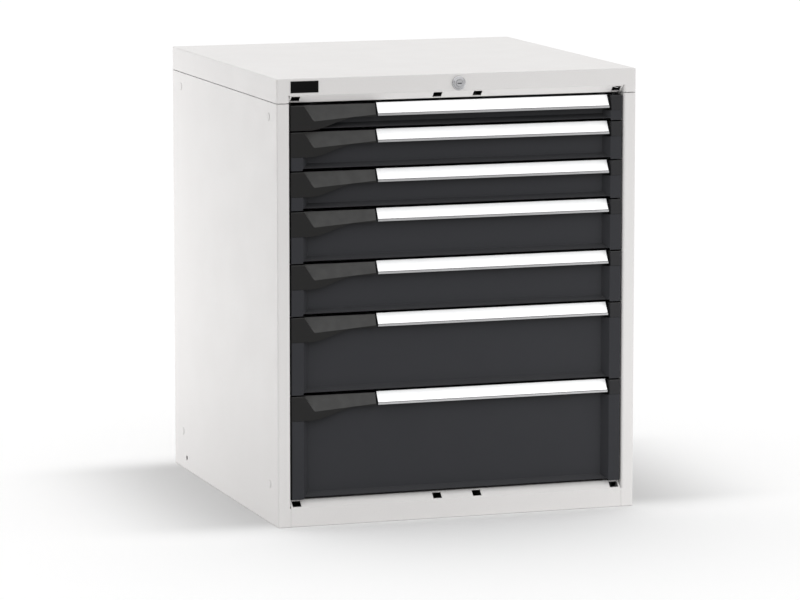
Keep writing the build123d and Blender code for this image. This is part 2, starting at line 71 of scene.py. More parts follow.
# %% [markdown]
# ## Sizes from the frame
# A drawer's parts could be placed with a list of heights copied out of the CAD source. It is safer to
# ask the frame: the boxes of the nodes give the same numbers, and they stay right when the CAD model
# changes. Only the thickness of the sheet and a few small gaps are written down here.

# %% Read the drawers' sizes
mm = 0.001
drawers = range(1, 8)
housing_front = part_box("base_pan")[0].y
reveal = 1.5 * mm
pull_gap = 0.8 * mm
front_sheet = 1.2 * mm


def at_depth(distance):
    """The place on Y that lies this far behind the front plane of the housing."""
    return housing_front + distance


def unit_heights(number):
    """Foot and top of a drawer's unit.

    They are its strip's foot less the reveal, and its pull's crest plus the gap.
    """
    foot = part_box(f"drawer_{number}_front")[0].z - reveal
    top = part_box(f"drawer_{number}_handle")[1].z + pull_gap
    return foot, top


face_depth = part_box("drawer_7_front")[0].y - housing_front
hook_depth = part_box("drawer_7_end_caps")[1].y - housing_front
front_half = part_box("drawer_7_front")[1].x
panel_depth = hook_depth - 3.5 * mm
panel_recess = panel_depth - face_depth
print("units", [tuple(round(v / mm, 1) for v in unit_heights(n)) for n in drawers])
print("face, panel and hook depth", [round(v / mm, 2) for v in (face_depth, panel_depth, hook_depth)])

# %% [markdown]
# ## Effects that several finishes share
# Powder coat, plated steel and moulded plastic all have a fine grain, softly worn edges and a little
# dust. Each effect is one node group with named sockets. A material places the group and gives it its
# own numbers, so the pattern is drawn once and stays at its real scale: Object coordinates are in
# metres, and a scale of 900 means 1.1 mm.


# %% Helpers for nodes and groups
def add_node(tree, kind, inputs=None, **settings):
    """Adds a node and sets its fields. Inputs that are sockets are linked, and plain values are set."""
    made = tree.nodes.new(kind)
    for field, value in settings.items():
        setattr(made, field, value)
    for key, value in (inputs or {}).items():
        if isinstance(value, bpy.types.NodeSocket):
            tree.links.new(value, made.inputs[key])
        else:
            made.inputs[key].default_value = value
    return made


def new_group(name, inputs, outputs):
    """An empty group with named number sockets; returns its tree and the sockets that it takes in."""
    tree = bpy.data.node_groups.new(name, "ShaderNodeTree")
    for label, value in inputs.items():
        socket = tree.interface.new_socket(label, in_out="INPUT", socket_type="NodeSocketFloat")
        socket.default_value = value
    for label in outputs:
        tree.interface.new_socket(label, in_out="OUTPUT", socket_type="NodeSocketFloat")
    return tree, tree.nodes.new("NodeGroupInput").outputs


def close_group(tree, **results):
    """Links each result to the group output of that name, with spaces for underscores."""
    inputs = {label.replace("_", " "): socket for label, socket in results.items()}
    add_node(tree, "NodeGroupOutput", inputs)


print("node and group helpers ready")


# %% [markdown]
# A pattern starts as a noise on Object coordinates, and a mask is such a pattern carried from one
# range to another. A few sums join them. With one short call for each, a finish reads as a recipe.


# %% Helpers for patterns and sums
def noise(tree, scale, detail=2.0, stretch=(1, 1, 1)):
    """A noise pattern on Object coordinates, drawn out along the axes whose stretch is small."""
    place = add_node(tree, "ShaderNodeTexCoord").outputs["Object"]
    spread = add_node(tree, "ShaderNodeMapping", {"Vector": place, "Scale": stretch}).outputs["Vector"]
    inputs = {"Vector": spread, "Scale": scale, "Detail": detail}
    return add_node(tree, "ShaderNodeTexNoise", inputs).outputs["Fac"]


def between(tree, value, low, high, to_low=0.0, to_high=1.0):
    """A value carried smoothly from one range to another."""
    inputs = {"Value": value, "From Min": low, "From Max": high, "To Min": to_low, "To Max": to_high}
    made = add_node(tree, "ShaderNodeMapRange", inputs, interpolation_type="SMOOTHSTEP")
    return made.outputs["Result"]


def math_node(tree, operation, first, second):
    """One sum, product or other operation on two values."""
    return add_node(tree, "ShaderNodeMath", {0: first, 1: second}, operation=operation).outputs[0]


def vector_node(tree, operation, first, second=(0, 0, 0)):
    """One operation on two vectors; returns the node's outputs, a Vector and a Value."""
    return add_node(tree, "ShaderNodeVectorMath", {0: first, 1: second}, operation=operation).outputs


print("pattern helpers ready")

# %% [markdown]
# The skin of a baked coat is an orange peel of about a millimetre with a finer grain on it, and its
# tone drifts by a few percent over the length of an arm.

# %% Group: coated skin
tree, takes = new_group("coated_skin", {"Peel": 900.0, "Drift": 0.05}, ["Height", "Tone", "Sheen"])
peel = noise(tree, takes["Peel"], 3.0)
fine = noise(tree, math_node(tree, "MULTIPLY", takes["Peel"], 3.1), 1.0)
drift = math_node(tree, "SUBTRACT", noise(tree, 3.5, 2.0), 0.5)
tone = math_node(tree, "ADD", math_node(tree, "MULTIPLY", drift, takes["Drift"]), 1.0)
close_group(
    tree,
    Height=math_node(tree, "ADD", peel, math_node(tree, "MULTIPLY", fine, 0.4)),
    Tone=math_node(tree, "MULTIPLY", tone, between(tree, peel, 0.3, 0.7, 0.985, 1.015)),
    Sheen=between(tree, noise(tree, 14.0, 3.0), 0.3, 0.7, -0.04, 0.04),
)
coated_skin = tree
print("group", tree.name)

# %% [markdown]
# A coat is thinner and rubbed on the edges. The Bevel node gives the normal that a rounded edge would
# have, and where it turns away from the true normal there is an edge, from any side. A noise breaks
# the line up, as handling does.

# %% Group: rubbed edges
tree, takes = new_group("rubbed_edges", {"Width": 0.0012, "Breakup": 60.0}, ["Mask"])
soft = add_node(tree, "ShaderNodeBevel", {"Radius": takes["Width"]}, samples=4).outputs["Normal"]
true = add_node(tree, "ShaderNodeNewGeometry").outputs["True Normal"]
edge = between(tree, vector_node(tree, "DOT_PRODUCT", soft, true)["Value"], 0.985, 0.80)
handled = between(tree, noise(tree, takes["Breakup"], 4.0), 0.35, 0.65)
close_group(tree, Mask=math_node(tree, "MULTIPLY", edge, handled))
rubbed_edges = tree
print("group", tree.name)

# %% [markdown]
# Dust settles on what faces up. The mask grows with the height part of the normal, and a noise makes
# it patchy. On the grips the same mask paints a sheen, a lighter tone on the slopes that face the
# light from above. A level top that lies close under another sheet is sheltered and gets neither, so
# that share can be taken off again.

# %% Group: dust and painted sheen
inputs = {"Flat From": 0.10, "Flat To": 0.55, "Sheltered": 0.0}
tree, takes = new_group("dust_and_painted_sheen", inputs, ["Mask"])
normal = add_node(tree, "ShaderNodeNewGeometry").outputs["Normal"]
upward = add_node(tree, "ShaderNodeSeparateXYZ", {"Vector": normal}).outputs["Z"]
facing = between(tree, upward, takes["Flat From"], takes["Flat To"])
level = math_node(tree, "MULTIPLY", between(tree, upward, 0.7, 0.95), takes["Sheltered"])
facing = math_node(tree, "SUBTRACT", facing, level)
patches = between(tree, noise(tree, 45.0, 5.0), 0.25, 0.75, 0.75, 1.0)
close_group(tree, Mask=math_node(tree, "MULTIPLY", facing, patches))
dust_and_painted_sheen = tree
print("group", tree.name)

# %% [markdown]
# Painted shade darkens the corners that light doesn't reach, such as the strip of panel under a pull.
# The Ambient Occlusion node measures how closed in a point is, up to the reach, from any side.

# %% Group: painted corner shade
tree, takes = new_group("painted_corner_shade", {"Reach": 0.05}, ["Mask"])
inputs = {"Distance": takes["Reach"]}
openness = add_node(tree, "ShaderNodeAmbientOcclusion", inputs, samples=8).outputs["AO"]
close_group(tree, Mask=between(tree, openness, 1.0, 0.5))
painted_corner_shade = tree
print("group", tree.name)

# %% [markdown]
# A die leaves fine lines along a drawn profile, and rolling does the same to plated sheet. The noise
# is drawn out along one axis by a Mapping node with a small scale on it.

# %% Group: drawn lines
tree, takes = new_group("drawn_lines", {"Fineness": 1.0}, ["Height", "Tone"])
lines = noise(tree, math_node(tree, "MULTIPLY", takes["Fineness"], 2600.0), 2.0, (0.004, 1, 1))
bands = noise(tree, math_node(tree, "MULTIPLY", takes["Fineness"], 420.0), 2.0, (0.01, 1, 1))
tone = between(tree, math_node(tree, "ADD", lines, bands), 0.7, 1.3, 0.94, 1.06)
close_group(tree, Height=lines, Tone=tone)
drawn_lines = tree
print("group", tree.name)


# %% [markdown]
# ## Finishes
# A material starts from a Principled shader. What is the same all over, such as the specular level,
# is set on the shader's own socket. What changes over the surface, colour, roughness and normal,
# comes from the groups.


# %% Helper for finishes
def new_finish(name, **constants):
    """A material whose Principled shader has its constants set; returned with its tree and shader."""
    material = bpy.data.materials.new(name)
    material.use_nodes = True
    tree = material.node_tree
    shader = tree.nodes["Principled BSDF"]
    for label, value in constants.items():
        shader.inputs[label.replace("_", " ")].default_value = value
    return material, tree, shader


def use_group(tree, group, **values):
    """Places a shared group in a material with its own values and returns its outputs."""
    made = add_node(tree, "ShaderNodeGroup", node_tree=group)
    for label, value in values.items():
        made.inputs[label.replace("_", " ")].default_value = value
    return made.outputs


print("finish helpers ready")


# %% [markdown]
# Two colours are mixed by a mask, and one colour is made lighter or darker by a tone. The grain is a
# bump. A bump alone leaves the edges sharp, so it can start from the normal of a softly rounded edge.


# %% Helpers for colour and grain
def mixed(tree, share, first, second):
    """Two colours mixed by a share from 0 to 1."""
    made = add_node(tree, "ShaderNodeMix", {0: share, 6: first, 7: second}, data_type="RGBA")
    return made.outputs[2]


def toned(tree, colour, tone):
    """A colour made lighter or darker by a tone near 1."""
    inputs = {0: 1.0, 6: colour, 7: tone}
    made = add_node(tree, "ShaderNodeMix", inputs, data_type="RGBA", blend_type="MULTIPLY")
    return made.outputs[2]


def grained(tree, shader, height, strength, distance, soft_edge=None):
    """A bump from a height, on the normal of a softly rounded edge where a radius is given."""
    inputs = {"Height": height, "Strength": strength, "Distance": distance}
    if soft_edge:
        rounded_edge = add_node(tree, "ShaderNodeBevel", {"Radius": soft_edge}, samples=4)
        inputs["Normal"] = rounded_edge.outputs["Normal"]
    bump = add_node(tree, "ShaderNodeBump", inputs)
    tree.links.new(bump.outputs["Normal"], shader.inputs["Normal"])


print("colour and grain helpers ready")


# %% [markdown]
# The housing and the trays are powder coated in pale greys and the fronts in a dark one. All three
# are the same finish with other numbers, so one function makes them. The fronts also get painted
# shade under their pulls and in their other corners.

# %% Coated sheet
def coated(name, colour, worn, dust, dust_share, roughness, specular, soft_edge, painted_shade_share=0.0):
    """A powder coat: a toned colour, lighter where edges are rubbed and dusty where it faces up.

    Its peel is a fine bump. With a shade share it is painted darker in the closed-in corners, where
    shade falls, by that share.
    """
    material, tree, shader = new_finish(name, Specular_IOR_Level=specular)
    skin = use_group(tree, coated_skin, Peel=900.0, Drift=0.05)
    edges = use_group(tree, rubbed_edges, Width=0.001)["Mask"]
    settled = math_node(tree, "MULTIPLY", use_group(tree, dust_and_painted_sheen)["Mask"], dust_share)
    paint = toned(tree, colour, skin["Tone"])
    paint = mixed(tree, math_node(tree, "MULTIPLY", edges, 0.5), paint, worn)
    # Painted shade: closed-in corners are mixed toward near black by the shade share.
    if painted_shade_share:
        corners = math_node(tree, "MULTIPLY", use_group(tree, painted_corner_shade)["Mask"], painted_shade_share)
        paint = mixed(tree, corners, paint, (0.003, 0.003, 0.003, 1))
    tree.links.new(mixed(tree, settled, paint, dust), shader.inputs["Base Color"])
    tree.links.new(math_node(tree, "ADD", skin["Sheen"], roughness), shader.inputs["Roughness"])
    grained(tree, shader, skin["Height"], 0.12, 0.0003, soft_edge)
    return material


pale_dust = (0.80, 0.80, 0.79, 1)
grey_dust = (0.16, 0.16, 0.16, 1)
housing_paint = coated(
    "housing_paint", (0.70, 0.686, 0.678, 1), worn=(0.78, 0.77, 0.76, 1), dust=pale_dust,
    dust_share=0.10, roughness=0.5, specular=0.25, soft_edge=0.0026,
)
tray_paint = coated(
    "tray_paint", (0.62, 0.63, 0.635, 1), worn=(0.72, 0.72, 0.71, 1), dust=pale_dust,
    dust_share=0.10, roughness=0.5, specular=0.4, soft_edge=0.0006,
)
front_paint = coated(
    "front_paint", (0.0285, 0.0291, 0.0328, 1), worn=(0.06, 0.06, 0.065, 1), dust=grey_dust,
    dust_share=0.05, roughness=0.5, specular=0.12, soft_edge=0.0004, painted_shade_share=0.68,
)
print("coated sheet", housing_paint.name, tray_paint.name, front_paint.name)

# %% [markdown]
# Zinc plating on the hidden steel has a faint bloom of crystals under rolling lines. A Voronoi
# pattern gives the crystals, each with its own tone.

# %% Zinc-plated steel
zinc_steel, tree, shader = new_finish("zinc_steel", Metallic=1.0)
rolled = use_group(tree, drawn_lines, Fineness=0.6)
place = add_node(tree, "ShaderNodeTexCoord").outputs["Object"]
crystal = add_node(tree, "ShaderNodeTexVoronoi", {"Vector": place, "Scale": 160.0}).outputs["Color"]
crystal_tone = add_node(tree, "ShaderNodeSeparateColor", {"Color": crystal}).outputs["Red"]
bloom = math_node(tree, "MULTIPLY", rolled["Tone"], between(tree, crystal_tone, 0.0, 1.0, 0.93, 1.05))
tree.links.new(toned(tree, (0.56, 0.57, 0.58, 1), bloom), shader.inputs["Base Color"])
tree.links.new(between(tree, crystal_tone, 0.0, 1.0, 0.30, 0.42), shader.inputs["Roughness"])
grained(tree, shader, rolled["Height"], 0.10, 0.0002, 0.0004)
print("finish", zinc_steel.name)

# %% [markdown]
# The pulls are drawn aluminium with a satin anodised coat, so the lines run along the profile. Painted
# shade darkens the metal in the narrow gaps round them.

# %% Anodised aluminium
pull_aluminium, tree, shader = new_finish("pull_aluminium", Metallic=1.0)
drawn = use_group(tree, drawn_lines, Fineness=1.0)
rubbed = use_group(tree, rubbed_edges, Width=0.0006, Breakup=90.0)["Mask"]
metal = toned(tree, (0.34, 0.34, 0.345, 1), drawn["Tone"])
metal = mixed(tree, math_node(tree, "MULTIPLY", rubbed, 0.4), metal, (0.46, 0.46, 0.47, 1))
# Painted shade: within 9 mm of other surfaces the metal is mixed toward black.
painted_shade = use_group(tree, painted_corner_shade, Reach=0.009)["Mask"]
tree.links.new(mixed(tree, painted_shade, metal, (0.01, 0.01, 0.01, 1)), shader.inputs["Base Color"])
tree.links.new(between(tree, drawn["Tone"], 0.94, 1.06, 0.36, 0.46), shader.inputs["Roughness"])
grained(tree, shader, drawn["Height"], 0.15, 0.0002)
print("finish", pull_aluminium.name)

# %% [markdown]
# The grips and caps are moulded in a nearly black plastic with a spark-eroded grain of about half a
# millimetre. The caps are a little paler than the grips, so one function makes both.


# %% Moulded plastic
def moulded_plastic(name, colour):
    """A grained plastic, polished by hands along its edges, with a painted sheen on the slopes that face
    up.
    """
    material, tree, shader = new_finish(name, Specular_IOR_Level=0.12)
    grain = use_group(tree, coated_skin, Peel=2200.0, Drift=0.08)
    # Painted sheen: slopes that face up are mixed toward a lighter grey, as light from above would make
    # them.
    painted_sheen = use_group(tree, dust_and_painted_sheen, Flat_From=0.08, Flat_To=0.40, Sheltered=1.0)["Mask"]
    painted_sheen = math_node(tree, "MULTIPLY", painted_sheen, 0.5)
    polished = use_group(tree, rubbed_edges, Width=0.0008, Breakup=80.0)["Mask"]
    plastic = toned(tree, colour, grain["Tone"])
    plastic = mixed(tree, math_node(tree, "MULTIPLY", polished, 0.4), plastic, (0.04, 0.04, 0.04, 1))
    tree.links.new(mixed(tree, painted_sheen, plastic, (0.14, 0.14, 0.138, 1)), shader.inputs["Base Color"])
    tree.links.new(math_node(tree, "ADD", grain["Sheen"], 0.52), shader.inputs["Roughness"])
    grained(tree, shader, grain["Height"], 0.2, 0.0002)
    return material


grip_plastic = moulded_plastic("grip_plastic", (0.0145, 0.0142, 0.014, 1))
cap_plastic = moulded_plastic("cap_plastic", (0.0245, 0.0245, 0.026, 1))
print("finish", grip_plastic.name, cap_plastic.name)

# %% [markdown]
# The labels are plain white paper strips. Paper is never quite even: the fibres show as a soft cloud
# and a faint tooth, and it scatters light more than it shines. A little emission paints a faint glow
# of light on it. Its upper edge, where it lies close under the next sheet, is painted dark as
# shade.

# %% Paper
# Painted light: the emission makes the paper glow, and the painted shade takes the glow off near other
# surfaces.
label_paper, tree, shader = new_finish("label_paper", Specular_IOR_Level=0.3, Emission_Strength=0.25)
painted_shade = use_group(tree, painted_corner_shade, Reach=0.003)["Mask"]
painted_glow = mixed(tree, painted_shade, (0.95, 0.97, 1.0, 1), (0, 0, 0, 1))
tree.links.new(painted_glow, shader.inputs["Emission Color"])
fibres = noise(tree, 700.0, 4.0)
cloud = between(tree, noise(tree, 40.0, 3.0), 0.3, 0.7, 0.985, 1.01)
paper = toned(tree, (0.98, 0.98, 0.975, 1), cloud)
# Painted shade: the paper is mixed toward near black where other surfaces lie within 3 mm.
tree.links.new(mixed(tree, painted_shade, paper, (0.03, 0.03, 0.03, 1)), shader.inputs["Base Color"])
tree.links.new(between(tree, fibres, 0.3, 0.7, 0.55, 0.7), shader.inputs["Roughness"])
grained(tree, shader, fibres, 0.08, 0.0001)
print("finish", label_paper.name)

# %% [markdown]
# The lock is chromed: bright, nearly smooth, with turning rings that only show in its highlight. The
# blank badge plate is a glossy black moulding.

# %% Chrome and gloss plastic
lock_chrome, tree, shader = new_finish("lock_chrome", Metallic=1.0)
smears = noise(tree, 120.0, 4.0)
smeared = between(tree, smears, 0.3, 0.7, 0.95, 1.05)
tree.links.new(toned(tree, (0.42, 0.42, 0.43, 1), smeared), shader.inputs["Base Color"])
tree.links.new(between(tree, smears, 0.3, 0.7, 0.16, 0.26), shader.inputs["Roughness"])
grained(tree, shader, smears, 0.02, 0.0001, 0.0003)

badge_plastic, tree, shader = new_finish("badge_plastic", Specular_IOR_Level=0.06)
gloss = use_group(tree, coated_skin, Peel=400.0, Drift=0.1)
tree.links.new(toned(tree, (0.003, 0.003, 0.0032, 1), gloss["Tone"]), shader.inputs["Base Color"])
tree.links.new(math_node(tree, "ADD", gloss["Sheen"], 0.28), shader.inputs["Roughness"])
grained(tree, shader, gloss["Height"], 0.03, 0.0001)
print("finish", lock_chrome.name, badge_plastic.name)

# %% [markdown]
# ## Finishes on the CAD nodes
# Nodes whose shape is right stay as they are and only get a finish. The record says which material
# slot each node has, so one table from slot to finish covers them all.

# %% Dress the CAD nodes
finishes = {
    "housing_paint": housing_paint,
    "front_paint": front_paint,
    "tray_paint": tray_paint,
    "zinc_steel": zinc_steel,
    "handle_aluminium": pull_aluminium,
    "grip_plastic": grip_plastic,
    "label_paper": label_paper,
    "lock_chrome": lock_chrome,
    "badge_plastic": badge_plastic,
}
for part in frame["record"]["subparts"]:
    node_mesh = frame["nodes"][part["node"]].data
    node_mesh.materials.clear()
    node_mesh.materials.append(finishes[part["material_slot"]])

# %% [markdown]
# ## From arrays to meshes
# Bent sheet and drawn profiles are one idea: a section that is carried along a path. The section is
# an array of corners, and each corner is rounded as a press or a die rounds it. Whole arrays are
# worked out at once, so there is no loop over points.


# %% Helper for round corners
def rounded(corners, radii, steps=4):
    """A closed section with round corners: each corner becomes an arc that touches both of its sides.

    The arc's centre lies on the line that halves the corner, at radius / sin(half the angle), and its
    points turn evenly from one touching point to the other.
    """
    corners = np.asarray(corners, float)
    radii = np.broadcast_to(np.asarray(radii, float), len(corners))[:, None]
    back = np.roll(corners, 1, axis=0) - corners
    ahead = np.roll(corners, -1, axis=0) - corners
    back /= np.linalg.norm(back, axis=1, keepdims=True)
    ahead /= np.linalg.norm(ahead, axis=1, keepdims=True)
    half = np.arccos(np.clip((back * ahead).sum(axis=1, keepdims=True), -1, 1)) / 2
    middle = back + ahead
    middle /= np.linalg.norm(middle, axis=1, keepdims=True)
    centre = corners + middle * radii / np.sin(half)
    start = corners + back * radii / np.tan(half) - centre
    end = corners + ahead * radii / np.tan(half) - centre
    turn = (math.pi - 2 * half)[:, :, None]
    share = np.linspace(0, 1, steps + 1)[None, :, None]
    from_start = np.sin((1 - share) * turn) * start[:, None]
    to_end = np.sin(share * turn) * end[:, None]
    arc = (from_start + to_end) / np.sin(turn)
    return (centre[:, None] + arc).reshape(-1, 2)


print("a square with round corners has", len(rounded([(0, 0), (1, 0), (1, 1), (0, 1)], 0.1)), "points")


# %% [markdown]
# A carried section is a grid of points. A bent panel is carried along X, and an upright strip along
# Z, where the section may also change on the way. Quads join each section to the next one.


# %% Helpers for carried sections
def carried_faces(stations, around):
    """Quads between each section and the next one, and one face over each end."""
    ring = np.arange(around)
    start = np.arange(stations - 1)[:, None] * around
    first = start + ring
    second = start + np.roll(ring, -1)
    quads = np.stack([first, second, second + around, first + around], axis=-1).reshape(-1, 4)
    ends = np.stack([ring, ring + (stations - 1) * around])
    return [quads, ends]


def carried_across(section, places):
    """A section of (depth, height) carried along X through the given places."""
    points = np.empty((len(places), len(section), 3))
    points[:, :, 0] = np.asarray(places)[:, None]
    points[:, :, 1] = at_depth(section[:, 0])
    points[:, :, 2] = section[:, 1]
    return points.reshape(-1, 3), carried_faces(len(places), len(section))


def carried_up(sections, heights):
    """Sections of (across, depth), one for each of the given heights, joined along Z."""
    sections = np.asarray(sections)
    points = np.empty(sections.shape[:2] + (3,))
    points[:, :, 0] = sections[:, :, 0]
    points[:, :, 1] = at_depth(sections[:, :, 1])
    points[:, :, 2] = np.asarray(heights)[:, None]
    return points.reshape(-1, 3), carried_faces(len(heights), sections.shape[1])


print("carried section helpers ready")


# %% [markdown]
# A piece may be several shells of points and faces. They become one mesh, with smooth bends and sharp
# edges told apart by their angle. The piece then rides on its CAD body, and stands for the CAD nodes
# whose place it takes.


# %% Helper for pieces
def new_piece(name, shells, material, body, slot, *stands_for):
    """Joins shells of points and faces into one piece with smooth bends, which rides on a CAD body."""
    faces = []
    start = 0
    for points, blocks in shells:
        for block in blocks:
            faces += (block + start).tolist()
        start += len(points)
    mesh = bpy.data.meshes.new(name)
    mesh.from_pydata(np.concatenate([points for points, blocks in shells]).tolist(), [], faces)
    edit = bmesh.new()
    edit.from_mesh(mesh)
    bmesh.ops.recalc_face_normals(edit, faces=edit.faces)
    edit.to_mesh(mesh)
    edit.free()
    mesh.shade_smooth()
    mesh.set_sharp_from_angle(angle=math.radians(40))
    mesh.materials.append(material)
    piece = bpy.data.objects.new(name, mesh)
    bpy.context.scene.collection.objects.link(piece)
    even = piece.modifiers.new("even_shading", "WEIGHTED_NORMAL")
    even.keep_sharp = True
    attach(piece, body)
    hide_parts(*stands_for)
    return piece


print("piece helper ready")

# %% [markdown]
# ## Drawer fronts
# Each front is pressed from one sheet: a recessed panel, two raised end strips that slope into it,
# and a lip along the foot that folds back under the tray. A box with a bevel would have sharp inside
# bends, so the panel's section is carried along X, with every bend rounded.

# %% Section of a panel
panel_lift = 5.0 * mm
panel_drop = 8.5 * mm
panel_back = panel_depth + front_sheet
lip_rise = 9.0 * mm
lip_nose = panel_depth - 8.5 * mm
nose_height = 0.9 * mm
nose_undercut = 0.3 * mm
lip_inside = lip_nose + 2.7 * mm
inside_drop = 0.7 * mm
fold_end = panel_depth + 26.0 * mm


def panel_section(foot, top):
    """Panel, lip and fold as one bent sheet of (depth, height), softly bent where the lip starts."""
    low = foot + panel_lift
    high = top - panel_drop
    corners = [
        (panel_depth, high),
        (panel_depth, low + lip_rise),
        (lip_nose, low + nose_height),
        (lip_nose + nose_undercut, low),
        (fold_end, low),
        (fold_end, low + front_sheet),
        (lip_inside, low + front_sheet),
        (panel_back, low + lip_rise - inside_drop),
        (panel_back, high),
    ]
    radii = np.array([0.3, 1.2, 0.35, 0.3, 0.3, 0.3, 0.4, 0.5, 0.3]) * mm
    return rounded(corners, radii)


print("panel section", panel_section(*unit_heights(7)).shape)

# %% [markdown]
# An end strip is a narrow channel that slopes into the panel on its inner side. Its plan is carried
# along Z. Below the lip's nose it has no slope, so the plan changes there from the bare strip to the
# sloped one.

# %% Plan of an end strip
strip_width = 23.3 * mm
strip_inner = front_half - strip_width
return_inside = front_half - front_sheet


def strip_plan(side, slope, bend):
    """An end strip as a bent sheet of (across, depth): return, strip and slope, then back inside."""
    slope_end = strip_inner - slope
    slope_depth = face_depth + max(slope, 0.4 * mm)
    slope_back = face_depth + max(slope + 0.5 * mm, 0.8 * mm)
    corners = [
        (front_half, panel_back),
        (front_half, face_depth),
        (strip_inner, face_depth),
        (slope_end, slope_depth),
        (slope_end + bend, slope_back),
        (strip_inner + 0.5 * mm, face_depth + front_sheet),
        (return_inside, face_depth + front_sheet),
        (return_inside, panel_back),
    ]
    tip = 0.17 * bend
    radii = [0.2 * mm, 1.6 * mm, bend, tip, tip, 0.1 * mm, 0.5 * mm, 0.2 * mm]
    return rounded(corners, radii) * (side, 1)


bare_slope = -0.2 * mm
bare_bend = 0.1 * mm
full_slope = panel_recess + 0.4 * mm
full_bend = 1.2 * mm
print("strip plan", strip_plan(1, full_slope, full_bend).shape)

# %% [markdown]
# A front is then a panel, a flat plate that closes it out to both ends, and a strip at each end up to
# the moulding above it. Drawer 1 is only as tall as its grip, so it has no strip at the left.

# %% Make the fronts
lip_half = strip_inner - 4.2 * mm
plate_front = panel_depth + 0.05 * mm
cap_height = 28.5 * mm
slope_start = 0.02 * mm
moulding_gap = 0.1 * mm
for number in drawers:
    foot, top = unit_heights(number)
    nose = foot + panel_lift
    shells = [carried_across(panel_section(foot, top), np.linspace(-lip_half, lip_half, 9))]
    plate = [
        (plate_front, nose),
        (plate_front, top - panel_drop),
        (panel_back, top - panel_drop),
        (panel_back, nose),
    ]
    shells.append(carried_across(rounded(plate, 0.3 * mm), (-front_half, front_half)))
    grip_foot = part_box(f"drawer_{number}_end_caps")[0].z
    for side, head in ((-1, grip_foot), (1, top - reveal - cap_height)):
        if head - foot - reveal > front_sheet:
            bare = strip_plan(side, bare_slope, bare_bend)
            sloped = strip_plan(side, full_slope, full_bend)
            heights = (foot + reveal, nose - slope_start, nose, head - moulding_gap)
            shells.append(carried_up([bare, bare, sloped, sloped], heights))
    new_piece(
        f"drawer_{number}_pressed_front", shells, front_paint, f"drawer_{number}", "front_paint",
        f"drawer_{number}_front",
    )
print("pressed fronts", len(drawers))

# %% [markdown]
# ## Pulls
# A pull is a drawn aluminium profile: a lip to hook the fingers behind, a sloping face for the label
# and a leg behind the panel. Its section is one closed outline with small die radii, carried along X.

# %% Make the pulls
pull_section_points = np.array(
    [
        (1.0, -25.0),
        (1.0, -21.0),
        (2.4, -21.0),
        (2.6, -21.6),
        (15.5, -0.8),
        (17.0, -0.8),
        (17.0, -24.0),
        (14.7, -24.0),
        (14.7, -5.8),
        (4.1, -22.5),
        (2.4, -25.0),
    ]
)
pull_radii = np.array([0.6, 0.5, 0.25, 0.1, 0.5, 0.5, 0.4, 0.4, 0.8, 0.8, 0.5])
for number in drawers:
    top = unit_heights(number)[1]
    pull_low, pull_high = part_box(f"drawer_{number}_handle")
    section = rounded(pull_section_points * mm, pull_radii * mm) + (0, top)
    new_piece(
        f"drawer_{number}_pull", [carried_across(section, np.linspace(pull_low.x, pull_high.x, 7))],
        pull_aluminium, f"drawer_{number}", "handle_aluminium", f"drawer_{number}_handle",
    )
print("pulls", len(drawers))

# %% [markdown]
# ## Grips and caps
# The ends of a pull are closed by mouldings. A moulding's face changes in two directions, so it is a
# grid: one parameter runs across and the other runs up from the lower edge to the top. The face falls
# back along a quarter circle at the border, which is the round edge that every moulding has, and a
# flat grid behind it closes the shell.


# %% Helpers for mouldings
def graded(length, roll, count):
    """Distances from 0 to length, close together over the rolled edges and even between them."""
    length = np.asarray(length, float)[..., None]
    edge = roll * (1 - np.cos(np.linspace(0, math.pi / 2, 6)))
    edge = np.broadcast_to(edge, length.shape[:-1] + (6,))
    inner = roll + np.linspace(0, 1, count)[1:-1] * (length - 2 * roll)
    return np.concatenate([edge, inner, length - edge[..., ::-1]], axis=-1)


def moulded(left, right, foot_line, head, face, back, roll, columns, rows):
    """A moulded slab: x runs from left to right, and z from the foot line up to the head.

    The depth of the front is face(x, z) plus roll - sqrt(roll^2 - (roll - d)^2), where d is the distance
    to the border. The back is the same grid at one depth, and quads round the border join the two.
    """
    x = left + graded(right - left, roll, columns)
    foot = foot_line(x)
    z = foot[:, None] + graded(head - foot, roll, rows)
    x = np.broadcast_to(x[:, None], z.shape)
    lean = np.gradient(foot, x[:, 0])[:, None]
    to_side = np.minimum(x - left, right - x)
    to_end = np.minimum((z - foot[:, None]) / np.hypot(1, lean), head - z)
    border = np.minimum(to_side, to_end)
    rest = roll - np.clip(border, 0, roll)
    front = face(x, z) + roll - np.sqrt(np.clip(roll**2 - rest**2, 0, None))
    front_points = np.stack([x, at_depth(front), z], axis=-1)
    back_points = np.stack([x, np.full_like(x, at_depth(back)), z], axis=-1)
    number = np.arange(x.size).reshape(x.shape)
    corners = [number[:-1, :-1], number[1:, :-1], number[1:, 1:], number[:-1, 1:]]
    quads = np.stack(corners, axis=-1).reshape(-1, 4)
    ring = np.concatenate([number[:-1, 0], number[-1, :-1], number[:0:-1, -1], number[0, :0:-1]])
    ahead = np.roll(ring, -1)
    border_quads = np.stack([ring, ring + x.size, ahead + x.size, ahead], axis=-1)
    faces = np.concatenate([quads, quads[:, ::-1] + x.size, border_quads])
    return np.concatenate([front_points.reshape(-1, 3), back_points.reshape(-1, 3)]), [faces]


print("moulding helpers ready")


# %% [markdown]
# The grip at the left end has a lower edge that sweeps up in an S, and a facet that leans back
# towards the top. Cutting it with planes would leave knife edges. As a grid, the face is one formula:
# flush, plus a slope that starts at the facet's foot line, right of its slanting edge.

